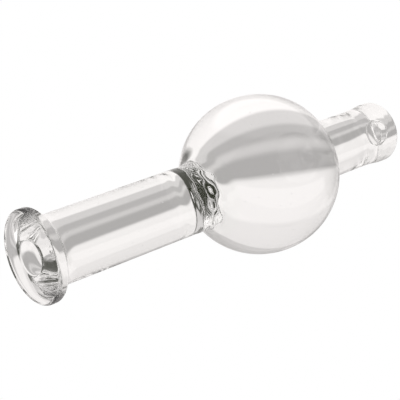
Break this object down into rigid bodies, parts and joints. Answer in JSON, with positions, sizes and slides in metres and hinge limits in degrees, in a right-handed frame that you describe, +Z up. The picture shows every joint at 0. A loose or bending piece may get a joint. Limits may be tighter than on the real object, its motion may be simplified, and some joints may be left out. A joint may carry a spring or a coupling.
{
  "type": "solid glass rod with ball",
  "caption": "Clear solid glass rod with one ball worked onto it: a front rod with a flared lip and a shallow recess, a solid ball, and a handle with a shallow round recess in its side.",
  "frame": {"origin": "centre of the front lip's flat foot, on the axis", "axes": "+Z up the axis, from the front lip to the flat end of the handle; -Y out of the shallow round recess in the handle's side"},
  "size_m": [0.03, 0.03, 0.0842],
  "materials": {
    "rod_glass": "clear solid rod, fire-polished",
    "weld_glass": "clear fused glass, thick and slightly rippled",
    "ball_glass": "clear solid glass, with a few fine seeds"
  },
  "bodies": {
    "root": {"front_lip": "rod_glass", "front_rod": "rod_glass", "front_weld": "weld_glass", "ball": "ball_glass", "handle_weld": "weld_glass", "handle_rod": "rod_glass"}
  },
  "joints": []
}
